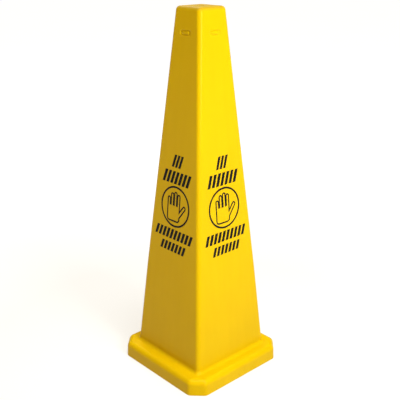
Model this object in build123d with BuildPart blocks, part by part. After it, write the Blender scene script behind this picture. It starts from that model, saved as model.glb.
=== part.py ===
from build123d import *
import os
from math import sqrt

# Tall four-sided safety cone: one hollow plastic moulding with ink marks on its four faces.
# Millimetres, +Z up. The origin is at the centre of the base, on the surface it stands on.
# The front face looks along -Y, the right face along +X.

os.makedirs("parts", exist_ok=True)

# Overall size
cone_height = 914.4
base_side = 311.15
wall = 2.6

# Flange: a square skirt with cut corners under a rounded shoulder
corner_cut = 31.6
flange_corner_radius = 16.0
skirt_draft = 2.4
shoulder_radius = 14.4
ledge_height = 40.3
rim_edge_radius = 0.7

# Tower: four flat faces that lean in a little more above the waist
foot_width = 238.7
waist_width = 202.1
waist_height = 262.9
top_width = 84.6
tower_corner_radius = 10.5
foot_radius = 9.0
crown_radius = 10.0

# Stacking ribs under the middle of each ledge, which stand on the ledge of the cone below
rib_thickness = 3.0
rib_reach = 127.5
rib_clearance = 5.0

# Shallow slot-shaped groove near the top of each face, round a small island
groove_height = 857.0
groove_length = 37.0
groove_width = 13.2
groove_depth = 1.4
island_length = 20.0
island_width = 4.6

# Shallow round well at the centre of the crown, round the stub that the moulding gate leaves
well_radius = 9.0
well_depth = 0.8
stub_radius = 2.2

# Ink marks
ink_thickness = 0.15
ring_height = 444.8
ring_radius = 49.4
ring_stroke = 4.5
hand_stroke = 3.4
stripe_slant = 0.32
stripe_gap_share = 0.36

# The hand inside each ring, measured from the ring's centre
palm_width = 46.0
palm_low = -38.5
palm_high = 2.0
palm_left_shift = 5.5
palm_corner_radius = 9.0
finger_tips = (23.5, 34.5, 38.5, 33.5)
finger_overlap = 0.2
thumb_middle = (19.0, -14.0)
thumb_end = (32.0, 3.0)
thumb_width = 12.0

# Each row of slanted stripes: name, width, lower edge, upper edge, number of stripes
stripe_rows = (
    ("stripes_short", 41.0, 542.0, 573.0, 3),
    ("stripes_upper", 103.0, 501.3, 532.3, 7),
    ("stripes_wide", 139.0, 361.3, 386.8, 10),
    ("stripes_lower", 94.0, 328.8, 351.8, 7),
)

face_turns = {"front": -90, "right": 0, "back": 90, "left": 180}

# Slack with which edges are picked by their height
height_slack = 0.01

lower_lean = (foot_width - waist_width) / 2 / (waist_height - ledge_height)
upper_lean = (waist_width - top_width) / 2 / (cone_height - waist_height)


def tower_half_width(level):
    """Distance from the axis to a tower face at a height."""
    if level < waist_height:
        return waist_width / 2 + lower_lean * (waist_height - level)
    return waist_width / 2 - upper_lean * (level - waist_height)


def face_plane(turn, level):
    """Plane on one upper tower face: origin on its centre line, x across, y up the face, z outward."""
    normal = Vector(1, 0, upper_lean).normalized().rotate(Axis.Z, turn)
    across = Vector(0, 1, 0).rotate(Axis.Z, turn)
    origin = Vector(tower_half_width(level), 0, level).rotate(Axis.Z, turn)
    return Plane(origin=origin, x_dir=across, z_dir=normal)


def along_face(rise):
    """Length up a leaning face that gains a given height."""
    return rise * sqrt(1 + upper_lean**2)


def flange_form(inset):
    """Flange block with a rounded shoulder, all of its outer faces moved in by the inset."""
    with BuildSketch() as outline:
        Rectangle(base_side - 2 * inset, base_side - 2 * inset)
        chamfer(outline.vertices(), length=corner_cut - inset * (2 - sqrt(2)))
        fillet(outline.vertices(), radius=flange_corner_radius - inset)
    extrude(outline.sketch, amount=ledge_height - inset, taper=skirt_draft)


def tower_form(inset, start):
    """Tower from a start height to its flat top, with its faces moved in by the inset."""
    sections = []
    for level in (start, waist_height, cone_height - inset):
        width = 2 * (tower_half_width(level) - inset)
        with BuildSketch(Plane.XY.offset(level)) as section:
            RectangleRounded(width, width, tower_corner_radius - inset)
        sections.append(section.sketch)
    loft(sections, ruled=True)


def reach_of(edge):
    """Larger horizontal distance from the axis to the middle of an edge."""
    middle = edge @ 0.5
    return max(abs(middle.X), abs(middle.Y))


def round_form(form, inset, foot, shoulder, crown):
    """Round the foot of the tower, the shoulder of the flange and the crown of a joined form."""
    ledge = ledge_height - inset
    between = foot_width / 2 + foot_radius + wall
    for inner, radius in ((True, foot), (False, shoulder)):
        ledge_edges = form.edges().filter_by_position(Axis.Z, ledge - height_slack, ledge + height_slack)
        fillet(ledge_edges.filter_by(lambda edge: (reach_of(edge) < between) == inner), radius=radius)
    fillet(form.faces().sort_by(Axis.Z)[-1].edges(), radius=crown)


# The hollow: the outer form moved in by the wall, less the slots that leave the stacking ribs standing
with BuildPart() as hollow:
    flange_form(wall)
    tower_form(wall, 0)
    round_form(hollow, wall, foot_radius + wall, shoulder_radius - wall, crown_radius - wall)
    rib_length = base_side / 2 - rib_reach
    for turn in face_turns.values():
        rib_plane = Plane(origin=(0, 0, rib_clearance), x_dir=Vector(1, 0, 0).rotate(Axis.Z, turn))
        with BuildSketch(rib_plane):
            with Locations((rib_reach + rib_length / 2, 0)):
                Rectangle(rib_length, rib_thickness)
        extrude(amount=ledge_height - rib_clearance, mode=Mode.SUBTRACT)

# The moulding
with BuildPart() as cone_body:
    flange_form(0)
    tower_form(0, ledge_height / 2)
    round_form(cone_body, 0, foot_radius, shoulder_radius, crown_radius)
    fillet(cone_body.faces().sort_by(Axis.Z)[0].edges(), radius=rim_edge_radius)
    add(hollow.part, mode=Mode.SUBTRACT)
    for turn in face_turns.values():
        with BuildSketch(face_plane(turn, groove_height)):
            SlotOverall(groove_length, groove_width)
            SlotOverall(island_length, island_width, mode=Mode.SUBTRACT)
        extrude(amount=-groove_depth, mode=Mode.SUBTRACT)
    with BuildSketch(Plane.XY.offset(cone_height)):
        Circle(well_radius)
        Circle(stub_radius, mode=Mode.SUBTRACT)
    extrude(amount=-well_depth, mode=Mode.SUBTRACT)

cone_body.part.label = "cone_body"
export_step(cone_body.part, "parts/cone_body.step")


def stripes(width, height, count):
    """A row of slanted stripes, centred on the sketch origin."""
    shift = stripe_slant * height
    pitch = (width - shift) / (count - stripe_gap_share)
    stripe_width = pitch * (1 - stripe_gap_share)
    corners = (
        (-stripe_width / 2 - shift / 2, -height / 2),
        (stripe_width / 2 - shift / 2, -height / 2),
        (stripe_width / 2 + shift / 2, height / 2),
        (-stripe_width / 2 + shift / 2, height / 2),
    )
    with GridLocations(pitch, 0, count, 1):
        Polygon(*corners, align=None)


def hand(inset, mode):
    """Open hand, fingers up and thumb to the right, with its outline moved in by the inset."""
    palm_height = palm_high - palm_low - inset
    with Locations((-palm_left_shift, palm_low + inset + palm_height / 2)):
        RectangleRounded(palm_width - 2 * inset, palm_height, palm_corner_radius - inset, mode=mode)
    pitch = palm_width / len(finger_tips)
    finger_width = pitch + finger_overlap - 2 * inset
    root = palm_high - pitch
    for place, tip in enumerate(finger_tips):
        across = (place + 0.5) * pitch - palm_width / 2 - palm_left_shift
        with Locations((across, (tip - inset + root) / 2)):
            SlotOverall(tip - inset - root, finger_width, rotation=90, mode=mode)
    SlotCenterPoint(thumb_middle, thumb_end, thumb_width - 2 * inset, mode=mode)


# The ink marks of each face
for side, turn in face_turns.items():
    for name, width, low, high, count in stripe_rows:
        with BuildPart() as row:
            with BuildSketch(face_plane(turn, (low + high) / 2)):
                stripes(width, along_face(high - low), count)
            extrude(amount=ink_thickness)
        row.part.label = f"{side}_{name}"
        export_step(row.part, f"parts/{side}_{name}.step")

    with BuildPart() as ring:
        with BuildSketch(face_plane(turn, ring_height)):
            Circle(ring_radius + ring_stroke / 2)
            Circle(ring_radius - ring_stroke / 2, mode=Mode.SUBTRACT)
        extrude(amount=ink_thickness)
    ring.part.label = f"{side}_ring"
    export_step(ring.part, f"parts/{side}_ring.step")

    with BuildPart() as palm:
        with BuildSketch(face_plane(turn, ring_height)):
            hand(0, Mode.ADD)
            hand(hand_stroke, Mode.SUBTRACT)
        extrude(amount=ink_thickness)
    palm.part.label = f"{side}_palm"
    export_step(palm.part, f"parts/{side}_palm.step")
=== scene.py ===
"""Tall four-sided safety cone: the moulded shell, its printed marks, and a plain studio round them."""

import math

import bmesh
import bpy
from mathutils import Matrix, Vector


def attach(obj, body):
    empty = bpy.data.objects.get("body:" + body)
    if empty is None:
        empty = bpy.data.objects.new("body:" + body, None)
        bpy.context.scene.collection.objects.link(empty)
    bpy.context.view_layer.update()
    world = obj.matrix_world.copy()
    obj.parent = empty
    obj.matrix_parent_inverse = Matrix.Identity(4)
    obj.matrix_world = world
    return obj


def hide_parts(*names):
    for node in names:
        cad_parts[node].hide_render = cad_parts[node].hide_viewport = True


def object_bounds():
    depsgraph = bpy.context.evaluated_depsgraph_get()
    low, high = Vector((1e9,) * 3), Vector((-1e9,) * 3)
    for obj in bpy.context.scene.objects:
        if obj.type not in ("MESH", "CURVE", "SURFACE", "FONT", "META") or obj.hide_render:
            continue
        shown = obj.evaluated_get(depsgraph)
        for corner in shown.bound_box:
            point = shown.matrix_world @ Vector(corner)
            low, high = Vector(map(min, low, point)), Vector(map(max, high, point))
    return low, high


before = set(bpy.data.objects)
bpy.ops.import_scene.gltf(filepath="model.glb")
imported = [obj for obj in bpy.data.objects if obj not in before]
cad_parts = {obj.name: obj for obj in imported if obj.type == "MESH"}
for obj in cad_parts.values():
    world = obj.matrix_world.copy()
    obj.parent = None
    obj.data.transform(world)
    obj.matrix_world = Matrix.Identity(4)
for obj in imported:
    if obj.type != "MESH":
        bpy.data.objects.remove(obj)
cad_low, cad_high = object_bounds()

# ---------------------------------------------------------------- sizes of the moulding, in metres

MM = 0.001
SIDES = 4
CONE_HEIGHT = cad_high.z
WALL = 2.6 * MM

# Distances called "half" are from the axis to a flat side; the base stays a hair inside the CAD's
BASE_HALF = 155.57 * MM

# Flange
CORNER_CUT = 31.6 * MM
FLANGE_CORNER_RADIUS = 16.0 * MM
SKIRT_ANGLE = math.radians(2.4)
SHOULDER_RADIUS = 14.4 * MM
LEDGE_HEIGHT = 40.3 * MM
SHOULDER_START = LEDGE_HEIGHT - SHOULDER_RADIUS
RIM_OUTER_RADIUS = 0.7 * MM
RIM_INNER_RADIUS = 0.5 * MM

# Tower
FOOT_HALF = 119.35 * MM
WAIST_HALF = 101.05 * MM
WAIST_HEIGHT = 262.9 * MM
TOP_HALF = 42.3 * MM
TOWER_CORNER_RADIUS = 10.5 * MM
FOOT_RADIUS = 9.0 * MM
CROWN_RADIUS = 10.0 * MM
LOWER_LEAN = (FOOT_HALF - WAIST_HALF) / (WAIST_HEIGHT - LEDGE_HEIGHT)
UPPER_LEAN = (WAIST_HALF - TOP_HALF) / (CONE_HEIGHT - WAIST_HEIGHT)

# Slot-shaped grooves near the top of each face, round a small island
GROOVE_HEIGHT = 857.0 * MM
GROOVE_LENGTH = 37.0 * MM
GROOVE_WIDTH = 13.2 * MM
GROOVE_DEPTH = 1.4 * MM
GROOVE_WALL = 1.2 * MM
ISLAND_LENGTH = 20.0 * MM
ISLAND_WIDTH = 4.6 * MM

# Gate well in the crown round its stub, from the outside in: radius and depth of each circle
WELL_RADIUS = 9.0 * MM
WELL_DEPTH = 0.8 * MM
STUB_RADIUS = 2.2 * MM
WELL_CIRCLES = (
    (WELL_RADIUS, 0.0),
    (WELL_RADIUS - 0.4 * MM, WELL_DEPTH),
    (STUB_RADIUS + 0.3 * MM, WELL_DEPTH),
    (STUB_RADIUS, 0.1 * MM),
    (STUB_RADIUS * 0.7, 0.0),
)
HOLLOW_CIRCLES = ((WELL_RADIUS, 0.0), (STUB_RADIUS, 0.0))
WELL_MARGIN = 0.5 * MM

# Stacking ribs under the ledge; the insets keep their outer edge inside the drafted skirt
RIB_THICKNESS = 3.0 * MM
RIB_REACH = 127.5 * MM
RIB_CLEARANCE = 5.0 * MM
RIB_CHAMFER = 1.2 * MM
RIB_LOW_INSET = 0.6 * MM
RIB_HIGH_INSET = 0.9 * MM
RIB_STEPS = 6

# The tower faces dish in a little as the moulding cools, between two shares of the tower's height
DISH_DEPTH = 0.25 * MM
DISH_LOW, DISH_LOW_FADE = 0.04, 0.08
DISH_HIGH, DISH_HIGH_FADE = 0.97, 0.06

# ---------------------------------------------------------------- how finely the shell is divided

CORNER_STEPS = 12
CHAMFER_STEPS = 4
RIM_STEPS = 3
SHOULDER_STEPS = 12
FOOT_STEPS = 9
CROWN_STEPS = 9
LEAST_RADIUS = 0.2 * MM

# Shares across one flat side: even steps in the middle, where the groove is, then a few wide ones
FINE_STEPS = 54
FINE_SHARE = 0.52
COARSE_SHARES = (0.58, 0.68, 0.79, 0.9, 0.975)

# Shares of the way up the skirt, across the ledge, and from the crown's edge to the gate well
SKIRT_SHARES = (0.06, 0.35, 0.65, 0.94)
LEDGE_SHARES = (0.08, 0.35, 0.65, 0.92)
PLATE_SHARES = (0.04, 0.3, 0.6, 0.85, 1.0)

# Steps between rings up the faces, and the gaps left next to the groove, foot and crown
STEP_BELOW_GROOVE = 14.0 * MM
STEP_IN_GROOVE = 0.7 * MM
STEP_ABOVE_GROOVE = 6.0 * MM
GROOVE_MARGIN = 1.5 * MM
FOOT_MARGIN = 1.5 * MM
CROWN_MARGIN = 0.8 * MM

SHARP_ANGLE = math.radians(40)


def even_steps(first, last, count):
    """Evenly spaced values from the first to the last, both included."""
    return [first + (last - first) * i / count for i in range(count + 1)]


def smooth_step(value):
    """Eases a value from 0 to 1 and holds it there."""
    value = min(1.0, max(0.0, value))
    return value * value * (3 - 2 * value)


FACE_SHARES = [-1.0] + [-share for share in reversed(COARSE_SHARES)]
FACE_SHARES += even_steps(-FINE_SHARE, FINE_SHARE, FINE_STEPS) + list(COARSE_SHARES)


# ---------------------------------------------------------------- outlines of one horizontal section


def turned(x, y, angle):
    return (x * math.cos(angle) - y * math.sin(angle), x * math.sin(angle) + y * math.cos(angle))


def four_sides(local):
    """Repeats the points of one side, which looks along +X, and of its corner round the axis."""
    return [turned(x, y, side * math.pi / 2) for side in range(SIDES) for x, y in local]


def arc_points(x, y, radius, angles):
    return [(x + radius * math.cos(angle), y + radius * math.sin(angle)) for angle in angles]


def tower_outline(half, radius):
    """Points of a rounded square, one side at a time: the flat of the side, then its corner."""
    radius = max(radius, LEAST_RADIUS)
    straight = half - radius
    flat = [(half, share * straight) for share in FACE_SHARES]
    corner = arc_points(straight, straight, radius, even_steps(0, math.pi / 2, CORNER_STEPS)[:-1])
    return four_sides(flat + corner)


def flange_outline(half):
    """Points of the square with cut, rounded corners, with the same count as the tower's outline."""
    inset = BASE_HALF - half
    radius = max(FLANGE_CORNER_RADIUS - inset, LEAST_RADIUS)
    cut = CORNER_CUT - inset * (2 - math.sqrt(2))
    straight = half - cut - radius * math.tan(math.pi / 8)
    arc_steps = (CORNER_STEPS - CHAMFER_STEPS) // 2
    first_turn = even_steps(0, math.pi / 4, arc_steps)
    second_turn = even_steps(math.pi / 4, math.pi / 2, arc_steps)[:-1]
    first = arc_points(half - radius, straight, radius, first_turn)
    second = arc_points(straight, half - radius, radius, second_turn)
    cut_shares = even_steps(0, 1, CHAMFER_STEPS)[1:-1]
    chamfer = [mixed_point(first[-1], second[0], share) for share in cut_shares]
    flat = [(half, share * straight) for share in FACE_SHARES]
    return four_sides(flat + first + chamfer + second)


def tower_section(half, height, inset):
    """The tower's outline where its faces are a given distance from the axis, at a height.

    The corners keep their centres, so their radius grows as the faces stand out."""
    proud = half - (tower_half(height) - inset)
    return tower_outline(half, TOWER_CORNER_RADIUS - inset + proud)


def circle_like(points, radius):
    """The same number of points on a circle, each in the direction of the point it stands for."""
    return [(x * radius / math.hypot(x, y), y * radius / math.hypot(x, y)) for x, y in points]


def mixed_point(first, second, share):
    return (first[0] + (second[0] - first[0]) * share, first[1] + (second[1] - first[1]) * share)


def mixed(first, second, share):
    """Points a share of the way from one outline to another."""
    return [mixed_point(a, b, share) for a, b in zip(first, second)]


def ring(points, height):
    return [Vector((x, y, height)) for x, y in points]


# ---------------------------------------------------------------- the shell, ring by ring
# An inset of 0 gives the outer surface, and an inset of one wall gives the hollow.


def tower_half(height):
    """Distance from the axis to a tower face at a height."""
    if height < WAIST_HEIGHT:
        return WAIST_HALF + LOWER_LEAN * (WAIST_HEIGHT - height)
    return WAIST_HALF - UPPER_LEAN * (height - WAIST_HEIGHT)


def skirt_half(height, inset):
    """Distance from the axis to the drafted skirt at a height."""
    return BASE_HALF - inset - height * math.tan(SKIRT_ANGLE)


def shoulder_centre(inset):
    """Distance from the axis to the centre of the shoulder's rounding, where the ledge starts."""
    return skirt_half(SHOULDER_START, inset) - (SHOULDER_RADIUS - inset) / math.cos(SKIRT_ANGLE)


def skirt_rings(inset):
    """The small rounding of the rim, then the drafted skirt."""
    edge = RIM_INNER_RADIUS if inset else RIM_OUTER_RADIUS
    inward = -1 if inset else 1
    rings = []
    for angle in even_steps(0, math.pi / 2, RIM_STEPS):
        height = edge * (1 - math.cos(angle))
        half = skirt_half(height, inset) - edge * (1 - math.sin(angle)) * inward
        rings.append(ring(flange_outline(half), height))
    for share in SKIRT_SHARES:
        height = SHOULDER_START * share
        if height > edge:
            rings.append(ring(flange_outline(skirt_half(height, inset)), height))
    return rings


def shoulder_rings(inset):
    """A quarter turn from the skirt to the ledge."""
    radius = SHOULDER_RADIUS - inset
    rings = []
    for angle in even_steps(SKIRT_ANGLE, math.pi / 2, SHOULDER_STEPS):
        half = shoulder_centre(inset) + radius * math.cos(angle)
        rings.append(ring(flange_outline(half), SHOULDER_START + radius * math.sin(angle)))
    return rings


def foot_rings(inset):
    """The flat ledge, then a hollow rounding up into the leaning faces."""
    radius = FOOT_RADIUS + inset
    lean = math.atan(LOWER_LEAN)
    ledge = LEDGE_HEIGHT - inset
    centre_height = ledge + radius
    centre = tower_half(centre_height) - inset + radius / math.cos(lean)
    outer_edge = flange_outline(shoulder_centre(inset))
    inner_edge = tower_section(centre, ledge, inset)
    rings = [ring(mixed(outer_edge, inner_edge, share), ledge) for share in LEDGE_SHARES]
    for angle in even_steps(math.pi / 2, lean, FOOT_STEPS):
        half = centre - radius * math.cos(angle)
        height = centre_height - radius * math.sin(angle)
        rings.append(ring(tower_section(half, height, inset), height))
    return rings


def face_heights(low, high):
    """Heights of the rings up the faces, close together across the groove."""
    reach = GROOVE_WIDTH / 2 + GROOVE_MARGIN
    stretches = (
        (low, GROOVE_HEIGHT - reach, STEP_BELOW_GROOVE),
        (GROOVE_HEIGHT - reach, GROOVE_HEIGHT + reach, STEP_IN_GROOVE),
        (GROOVE_HEIGHT + reach, high, STEP_ABOVE_GROOVE),
    )
    heights = []
    for start, end, step in stretches:
        heights += even_steps(start, end, max(1, round((end - start) / step)))[:-1]
    return heights + [high]


def face_rings(inset):
    """The leaning faces, from just above the foot's rounding to just below the crown's."""
    foot_end = (FOOT_RADIUS + inset) * (1 - math.sin(math.atan(LOWER_LEAN)))
    crown_start = (CROWN_RADIUS - inset) * (1 - math.sin(math.atan(UPPER_LEAN)))
    low = LEDGE_HEIGHT - inset + foot_end + FOOT_MARGIN
    high = CONE_HEIGHT - inset - crown_start - CROWN_MARGIN
    rings = []
    for height in face_heights(low, high):
        rings.append(ring(tower_section(tower_half(height) - inset, height, inset), height))
    return rings


def crown_rings(inset):
    """The rounding of the crown, then its flat top, whose outline turns into the gate well's circles."""
    radius = CROWN_RADIUS - inset
    lean = math.atan(UPPER_LEAN)
    top = CONE_HEIGHT - inset
    centre_height = top - radius
    centre = tower_half(centre_height) - inset - radius / math.cos(lean)
    rings = []
    for angle in even_steps(lean, math.pi / 2, CROWN_STEPS):
        half = centre + radius * math.cos(angle)
        height = centre_height + radius * math.sin(angle)
        rings.append(ring(tower_section(half, height, inset), height))
    plate = tower_section(centre, top, inset)
    well_edge = circle_like(plate, WELL_RADIUS + WELL_MARGIN)
    rings += [ring(mixed(plate, well_edge, share), top) for share in PLATE_SHARES]
    circles = HOLLOW_CIRCLES if inset else WELL_CIRCLES
    return rings + [ring(circle_like(plate, size), top - depth) for size, depth in circles]


def shell_rings(inset):
    """All rings of one surface, from the rim to the middle of the crown."""
    lower = skirt_rings(inset) + shoulder_rings(inset) + foot_rings(inset)
    return lower + face_rings(inset) + crown_rings(inset)


# ---------------------------------------------------------------- relief of the tower faces


def slot_distance(across, up, spine):
    """Distance from the middle line of a level slot, whose line has the given length."""
    return math.hypot(max(abs(across) - spine / 2, 0), up)


def groove_drop(across, up):
    """How far the surface sinks in the slot-shaped groove, at a place on the face."""
    inside_groove = GROOVE_WIDTH / 2 - slot_distance(across, up, GROOVE_LENGTH - GROOVE_WIDTH)
    outside_island = slot_distance(across, up, ISLAND_LENGTH - ISLAND_WIDTH) - ISLAND_WIDTH / 2
    return GROOVE_DEPTH * smooth_step(min(inside_groove, outside_island) / GROOVE_WALL)


def dish_drop(share, height, side):
    """How far a tower face sinks by cooling, at a place across it from -1 to 1."""
    up = (height - LEDGE_HEIGHT) / (CONE_HEIGHT - LEDGE_HEIGHT)
    low_fade = smooth_step((up - DISH_LOW) / DISH_LOW_FADE)
    high_fade = smooth_step((DISH_HIGH - up) / DISH_HIGH_FADE)
    long_wave = 0.25 * math.sin(17.0 * up + 1.9 * side)
    short_wave = 0.15 * math.sin(3.1 * share + 41.0 * up + side)
    return DISH_DEPTH * low_fade * high_fade * (1 - share**2) ** 2 * (0.6 + long_wave + short_wave)


def sink_faces(rings):
    """Moves the outer rings in where the grooves and the dished faces are, and nowhere else."""
    per_side = len(FACE_SHARES) + CORNER_STEPS
    for points in rings:
        height = points[0].z
        up = (height - GROOVE_HEIGHT) * math.hypot(1, UPPER_LEAN)
        for side in range(SIDES):
            turn = side * math.pi / 2
            outward = Vector((math.cos(turn), math.sin(turn), UPPER_LEAN)).normalized()
            for i, share in enumerate(FACE_SHARES, side * per_side):
                across = -points[i].x * math.sin(turn) + points[i].y * math.cos(turn)
                points[i] -= outward * (groove_drop(across, up) + dish_drop(share, height, side))


# ---------------------------------------------------------------- meshes


def mesh_object(name, mesh):
    """Turns a bmesh into a linked object with outward faces."""
    bmesh.ops.recalc_face_normals(mesh, faces=mesh.faces)
    data = bpy.data.meshes.new(name)
    mesh.to_mesh(data)
    mesh.free()
    made = bpy.data.objects.new(name, data)
    bpy.context.scene.collection.objects.link(made)
    return made


def rib_profile():
    """A stacking rib seen from its side, as distances from the axis and heights."""
    arc = SHOULDER_RADIUS - WALL / 2
    arc_centre = BASE_HALF - SHOULDER_RADIUS - WALL / 2 - RIB_HIGH_INSET
    low_edge = [
        (RIB_REACH, RIB_CLEARANCE + RIB_CHAMFER),
        (RIB_REACH + RIB_CHAMFER, RIB_CLEARANCE),
        (BASE_HALF - WALL / 2 - RIB_LOW_INSET, RIB_CLEARANCE),
    ]
    outer_edge = arc_points(arc_centre, SHOULDER_START, arc, even_steps(0, math.pi / 2, RIB_STEPS))
    return low_edge + outer_edge + [(RIB_REACH, SHOULDER_START + arc)]


def rib_plates():
    """Four upright plates that stand from the skirt to the ceiling under the ledge."""
    mesh = bmesh.new()
    profile = rib_profile()
    for side in range(SIDES):
        rows = []
        for across in (-RIB_THICKNESS / 2, RIB_THICKNESS / 2):
            places = [(*turned(reach, across, side * math.pi / 2), height) for reach, height in profile]
            rows.append([mesh.verts.new(place) for place in places])
        mesh.faces.new(rows[0])
        mesh.faces.new(list(reversed(rows[1])))
        for i in range(len(profile)):
            j = (i + 1) % len(profile)
            mesh.faces.new((rows[0][j], rows[0][i], rows[1][i], rows[1][j]))
    return mesh_object("rib_plates", mesh)


def bare_shell():
    """The outer surface and the hollow, joined at the rim and closed at the crown."""
    outer = shell_rings(0.0)
    sink_faces(outer)
    mesh = bmesh.new()
    loops = [[mesh.verts.new(point) for point in points] for points in reversed(outer)]
    loops += [[mesh.verts.new(point) for point in points] for points in shell_rings(WALL)]
    count = len(loops[0])
    for lower, upper in zip(loops, loops[1:]):
        for i in range(count):
            j = (i + 1) % count
            mesh.faces.new((lower[i], lower[j], upper[j], upper[i]))
    for loop in (loops[0], loops[-1]):
        middle = mesh.verts.new((0, 0, loop[0].co.z))
        for i in range(count):
            mesh.faces.new((loop[i], loop[(i + 1) % count], middle))
    return mesh_object("moulded_cone", mesh)


def join_solids(piece, other):
    """Joins another closed mesh to the piece and removes the other."""
    union = piece.modifiers.new("union", "BOOLEAN")
    union.operation = "UNION"
    union.solver = "EXACT"
    union.object = other
    graph = bpy.context.evaluated_depsgraph_get()
    result = bpy.data.meshes.new_from_object(piece.evaluated_get(graph))
    piece.modifiers.clear()
    piece.data = result
    bpy.data.objects.remove(other)


def moulded_cone():
    """The whole one-piece moulding as one closed mesh."""
    cone = bare_shell()
    join_solids(cone, rib_plates())
    for face in cone.data.polygons:
        face.use_smooth = True
    cone.data.set_sharp_from_angle(angle=SHARP_ANGLE)
    return cone


# ---------------------------------------------------------------- shader building blocks


def new_material(name):
    material = bpy.data.materials.new(name)
    material.use_nodes = True
    tree = material.node_tree
    return material, tree, tree.nodes["Principled BSDF"]


def node(tree, kind, inputs=None, **settings):
    """Adds a node, sets its own settings, then links or fills its inputs by name or number."""
    made = tree.nodes.new(kind)
    for key, value in settings.items():
        setattr(made, key, value)
    for key, value in (inputs or {}).items():
        if isinstance(value, bpy.types.NodeSocket):
            tree.links.new(value, made.inputs[key])
        else:
            made.inputs[key].default_value = value
    return made


def noise(tree, where, scale, detail=2.0, roughness=0.5):
    inputs = {"Vector": where, "Scale": scale, "Detail": detail, "Roughness": roughness}
    return node(tree, "ShaderNodeTexNoise", inputs).outputs["Fac"]


def spread(tree, value, low, high, to_low, to_high):
    """Maps a value from one range to another and holds it there."""
    inputs = {"Value": value, "From Min": low, "From Max": high, "To Min": to_low, "To Max": to_high}
    return node(tree, "ShaderNodeMapRange", inputs).outputs["Result"]


def combine(tree, operation, first, second):
    return node(tree, "ShaderNodeMath", {0: first, 1: second}, operation=operation).outputs[0]


def blend_colours(tree, share, first, second):
    """Mixes two colours by a share from 0 to 1."""
    return node(tree, "ShaderNodeMix", {0: share, 6: first, 7: second}, data_type="RGBA").outputs[2]


def bump(tree, height, strength, distance, **under):
    """Relief from a height; another relief may lie under it as Normal."""
    inputs = {"Height": height, "Strength": strength, "Distance": distance, **under}
    return node(tree, "ShaderNodeBump", inputs).outputs[0]


# ---------------------------------------------------------------- materials

# Colours, linear
DEEP_YELLOW = (0.585, 0.340, 0.0006, 1)
LIGHT_YELLOW = (0.620, 0.362, 0.0010, 1)
# This brown serves both the dirt specks near the floor and the painted shade on the crown
DIRT_AND_SHADE = (0.26, 0.15, 0.015, 1)
DEEP_INK = (0.0035, 0.0032, 0.0030, 1)
LIGHT_INK = (0.007, 0.0065, 0.006, 1)
WORN_INK = (0.16, 0.10, 0.01, 1)

# Dirt fades out up to the first height, and the painted shade on the crown fades in over the last two
SPLASH_TOP = 30.0 * MM
CROWN_SHADE_START = CONE_HEIGHT - 9.0 * MM
CROWN_SHADE_FULL = CONE_HEIGHT - 3.0 * MM


def yellow_plastic():
    """Moulded polyethylene: saturated yellow, fine grain, faint flow streaks, and painted shade
    darkening the crown.
    """
    material, tree, shader = new_material("yellow_plastic")
    where = node(tree, "ShaderNodeTexCoord").outputs["Object"]
    height = node(tree, "ShaderNodeSeparateXYZ", {0: where}).outputs["Z"]

    # Colour: slow cloudiness, and streaks that run down from the gate
    cloud = spread(tree, noise(tree, where, 9.0, 3.0), 0.3, 0.7, -0.5, 0.5)
    drawn_out = node(tree, "ShaderNodeMapping", {"Vector": where, "Scale": (1.0, 1.0, 0.06)}).outputs[0]
    streak = spread(tree, noise(tree, drawn_out, 60.0, 1.0), 0.35, 0.65, -0.25, 0.25)
    tone = spread(tree, combine(tree, "ADD", cloud, streak), -0.8, 0.8, 0.0, 1.0)
    body = blend_colours(tree, tone, DEEP_YELLOW, LIGHT_YELLOW)

    # Dirt specks near the floor, and painted shade that darkens the crown's top and fillet
    low_down = spread(tree, height, 0.0, SPLASH_TOP, 1.0, 0.0)
    specks = spread(tree, noise(tree, where, 160.0, 4.0, 0.65), 0.56, 0.72, 0.0, 1.0)
    splashed = combine(tree, "MULTIPLY", combine(tree, "MULTIPLY", low_down, specks), 0.35)
    # Painted shade: the crown's top and fillet are darkened towards the brown, and the same mask makes
    # them duller
    crown = spread(tree, height, CROWN_SHADE_START, CROWN_SHADE_FULL, 0.0, 1.0)
    crown_shade_strength = spread(tree, noise(tree, where, 110.0, 4.0), 0.3, 0.7, 0.42, 0.56)
    crown_shade = combine(tree, "MULTIPLY", crown, crown_shade_strength)
    dirt_and_shade = combine(tree, "MAXIMUM", splashed, crown_shade)
    dirtied_and_shaded = blend_colours(tree, dirt_and_shade, body, DIRT_AND_SHADE)
    tree.links.new(dirtied_and_shaded, shader.inputs["Base Color"])

    # Gloss: satin, duller in fine patches and on the crown
    satin = spread(tree, noise(tree, where, 22.0, 4.0, 0.6), 0.3, 0.7, 0.29, 0.36)
    scuff = spread(tree, noise(tree, where, 260.0, 3.0, 0.7), 0.55, 0.8, 0.0, 0.05)
    dull = combine(tree, "MULTIPLY", crown_shade, 0.4)
    rough = combine(tree, "ADD", combine(tree, "ADD", satin, scuff), dull)
    tree.links.new(rough, shader.inputs["Roughness"])

    # Relief: slow waves over the grain of the mould
    grain = bump(tree, noise(tree, where, 1500.0, 3.0, 0.6), 0.10, 0.0004)
    wave = bump(tree, noise(tree, where, 28.0, 1.0), 0.10, 0.002, Normal=grain)
    tree.links.new(wave, shader.inputs["Normal"])

    shader.inputs["IOR"].default_value = 1.52
    shader.inputs["Specular IOR Level"].default_value = 0.08
    shader.inputs["Specular Tint"].default_value = (1.0, 0.93, 0.40, 1)
    shader.inputs["Subsurface Weight"].default_value = 0.12
    shader.inputs["Subsurface Radius"].default_value = (1.0, 0.55, 0.05)
    shader.inputs["Subsurface Scale"].default_value = 0.004
    return material


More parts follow.
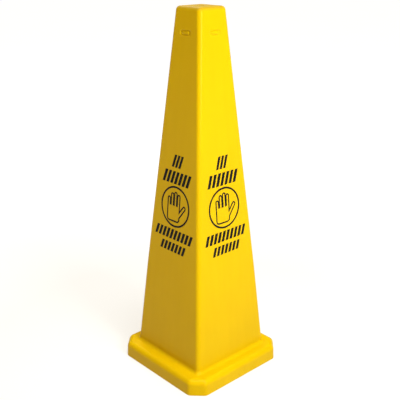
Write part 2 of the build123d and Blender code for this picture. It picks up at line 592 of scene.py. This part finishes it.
def black_ink():
    """Screen-printed ink: near black, satin, with the grain of the plastic and a few pinholes."""
    material, tree, shader = new_material("black_ink")
    where = node(tree, "ShaderNodeTexCoord").outputs["Object"]
    cloud = noise(tree, where, 60.0, 3.0)
    whole = blend_colours(tree, cloud, DEEP_INK, LIGHT_INK)
    pinhole = spread(tree, noise(tree, where, 900.0, 2.0, 0.6), 0.70, 0.76, 0.0, 0.35)
    worn = blend_colours(tree, pinhole, whole, WORN_INK)
    tree.links.new(worn, shader.inputs["Base Color"])
    rough = spread(tree, noise(tree, where, 120.0, 3.0), 0.3, 0.7, 0.40, 0.55)
    tree.links.new(rough, shader.inputs["Roughness"])
    grain = bump(tree, noise(tree, where, 1500.0, 3.0, 0.6), 0.08, 0.0003)
    tree.links.new(grain, shader.inputs["Normal"])
    shader.inputs["Specular IOR Level"].default_value = 0.08
    return material


# ---------------------------------------------------------------- studio

# Floor: its glow changes from near to far between two distances from the cone; the dimmer, warmer near
# glow is painted shade round the cone's foot
FLOOR_HALF = 40.0
FLOOR_GAP = 0.2 * MM
DEEP_FLOOR = (0.29, 0.29, 0.29, 1)
LIGHT_FLOOR = (0.31, 0.31, 0.31, 1)
GLOW_DISTANCES = (0.6, 2.0)
NEAR_FLOOR_SHADED_GLOW = (0.63, 0.59, 0.54, 1)
FAR_FLOOR_GLOW = (0.90, 0.90, 0.90, 1)

# Surroundings: dark up to the first upward slope of a ray, and at full glow from the second on
SKY_COLOUR = (1.0, 0.80, 0.64, 1)
SKY_SLOPES = (0.35, 0.80)
SKY_GLOW = 0.66
BACKDROP_GLOW = 1.0

# Soft boxes: azimuth in degrees from +X towards +Y, distance from the axis, height, width, length,
# watts, and the height on the axis that each is aimed at
LAMP_COLOUR = (0.88, 1.0, 1.0)
SOFT_BOXES = {
    "key_softbox": (-4.0, 1.3, 1.0, 0.5, 0.5, 21.3, 0.50),
    "fill_softbox": (-30.0, 1.3, 0.35, 0.5, 0.35, 2.2, 0.50),
    "back_softbox": (150.0, 1.6, 2.2, 0.7, 0.6, 20.0, 0.40),
    "overhead_softbox": (-15.0, 0.9, 4.2, 1.2, 1.2, 135.0, 0.30),
}

# Camera, at the photograph's viewing angle
CAMERA_DISTANCE = 1.634
CAMERA_HEIGHT = 1.0347
CAMERA_AZIMUTH = math.radians(47.261)
CAMERA_PITCH = math.radians(19.936)
CAMERA_PAN = math.radians(0.058)
CAMERA_REACH = 100.0
SENSOR_WIDTH = 36.0
CAMERA_LENS = 1.7279 * SENSOR_WIDTH


def floor_paint():
    """Pale studio floor with a glow of its own that lights the cone, so that only a soft shadow shows;
    the glow is painted dimmer and warmer near the cone, a painted shade round its foot.
    """
    material, tree, shader = new_material("studio_floor")
    where = node(tree, "ShaderNodeTexCoord").outputs["Object"]
    shade = spread(tree, noise(tree, where, 1.5, 2.0), 0.3, 0.7, 0.0, 1.0)
    pale = blend_colours(tree, shade, DEEP_FLOOR, LIGHT_FLOOR)
    tree.links.new(pale, shader.inputs["Base Color"])
    # Painted shade: the floor's glow is dimmer and warmer near the cone than far from it
    away = node(tree, "ShaderNodeVectorMath", {0: where}, operation="LENGTH").outputs["Value"]
    distant = spread(tree, away, *GLOW_DISTANCES, 0.0, 1.0)
    glow = blend_colours(tree, distant, NEAR_FLOOR_SHADED_GLOW, FAR_FLOOR_GLOW)
    tree.links.new(glow, shader.inputs["Emission Color"])
    shader.inputs["Emission Strength"].default_value = 1.0
    shader.inputs["Roughness"].default_value = 0.9
    shader.inputs["Specular IOR Level"].default_value = 0.0
    return material


def make_floor():
    mesh = bmesh.new()
    bmesh.ops.create_grid(mesh, x_segments=8, y_segments=8, size=FLOOR_HALF)
    floor = mesh_object("studio_floor", mesh)
    floor.location.z = cad_low.z - FLOOR_GAP
    floor.data.materials.append(floor_paint())


def make_world():
    """Dim surroundings for light, and a pale backdrop where the camera sees past the floor."""
    world = bpy.data.worlds.new("studio")
    bpy.context.scene.world = world
    world.use_nodes = True
    tree = world.node_tree
    tree.nodes.clear()
    direction = node(tree, "ShaderNodeTexCoord").outputs["Generated"]
    slope = node(tree, "ShaderNodeSeparateXYZ", {0: direction}).outputs["Z"]
    glow = spread(tree, slope, *SKY_SLOPES, 0.0, SKY_GLOW)
    light = node(tree, "ShaderNodeBackground", {"Color": SKY_COLOUR, "Strength": glow})
    pale = node(tree, "ShaderNodeBackground", {"Color": (1, 1, 1, 1), "Strength": BACKDROP_GLOW})
    seen = node(tree, "ShaderNodeLightPath").outputs["Is Camera Ray"]
    both = node(tree, "ShaderNodeMixShader", {0: seen, 1: light.outputs[0], 2: pale.outputs[0]})
    node(tree, "ShaderNodeOutputWorld", {"Surface": both.outputs[0]})


def make_light(name, azimuth, distance, height, width, length, power, aim_height):
    data = bpy.data.lights.new(name, "AREA")
    data.shape = "RECTANGLE"
    data.size = width
    data.size_y = length
    data.energy = power
    data.color = LAMP_COLOUR
    lamp = bpy.data.objects.new(name, data)
    bpy.context.scene.collection.objects.link(lamp)
    turn = math.radians(azimuth)
    lamp.location = (distance * math.cos(turn), distance * math.sin(turn), height)
    aim = Vector((0, 0, aim_height)) - lamp.location
    lamp.rotation_euler = aim.to_track_quat("-Z", "Y").to_euler()


def make_camera():
    data = bpy.data.cameras.new("camera")
    data.sensor_width = SENSOR_WIDTH
    data.lens = CAMERA_LENS
    data.clip_end = CAMERA_REACH
    camera = bpy.data.objects.new("camera", data)
    bpy.context.scene.collection.objects.link(camera)
    across = CAMERA_DISTANCE * math.sin(CAMERA_AZIMUTH)
    camera.location = (across, -CAMERA_DISTANCE * math.cos(CAMERA_AZIMUTH), CAMERA_HEIGHT)
    heading = CAMERA_AZIMUTH + CAMERA_PAN
    level = math.cos(CAMERA_PITCH)
    forward = Vector((-math.sin(heading) * level, math.cos(heading) * level, -math.sin(CAMERA_PITCH)))
    camera.rotation_mode = "QUATERNION"
    camera.rotation_quaternion = forward.to_track_quat("-Z", "Y")
    bpy.context.scene.camera = camera


# ---------------------------------------------------------------- assembly

cone = moulded_cone()
cone.data.materials.clear()
cone.data.materials.append(yellow_plastic())
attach(cone, "root")
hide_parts("cone_body")

ink = black_ink()
for name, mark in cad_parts.items():
    if name != "cone_body":
        for place in mark.material_slots:
            place.material = ink

make_floor()
make_world()
for name, settings in SOFT_BOXES.items():
    make_light(name, *settings)
make_camera()
bpy.context.scene.view_settings.view_transform = "Standard"
